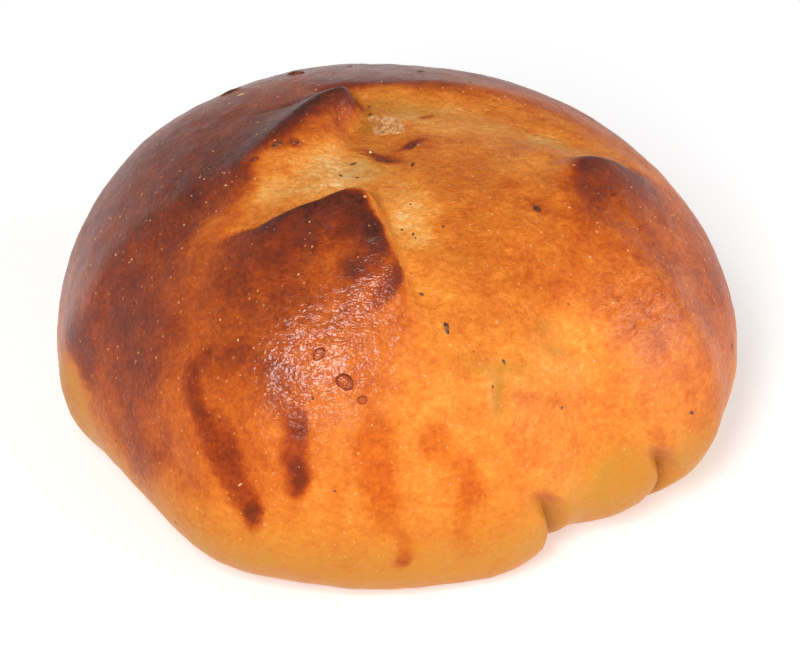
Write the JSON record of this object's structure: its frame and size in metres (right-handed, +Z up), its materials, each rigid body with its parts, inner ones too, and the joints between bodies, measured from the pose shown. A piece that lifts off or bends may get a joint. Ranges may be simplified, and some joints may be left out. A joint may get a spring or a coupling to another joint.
{
  "type": "raisin bun",
  "caption": "Round glazed raisin bun, cut crosswise on top and opened in the oven into four browned flaps round paler dough, with tucked dough at its foot.",
  "frame": {"origin": "middle of the flat base that the bun rests on", "axes": "+Z up, +X to the right and +Y to the back as the picture's camera sees the bun"},
  "size_m": [0.1108, 0.1049, 0.0601],
  "materials": {
    "crust": "glazed golden brown bread crust, darker on the raised folds, with raisin tips"
  },
  "bodies": {
    "root": {"bun": "crust"}
  },
  "joints": []
}
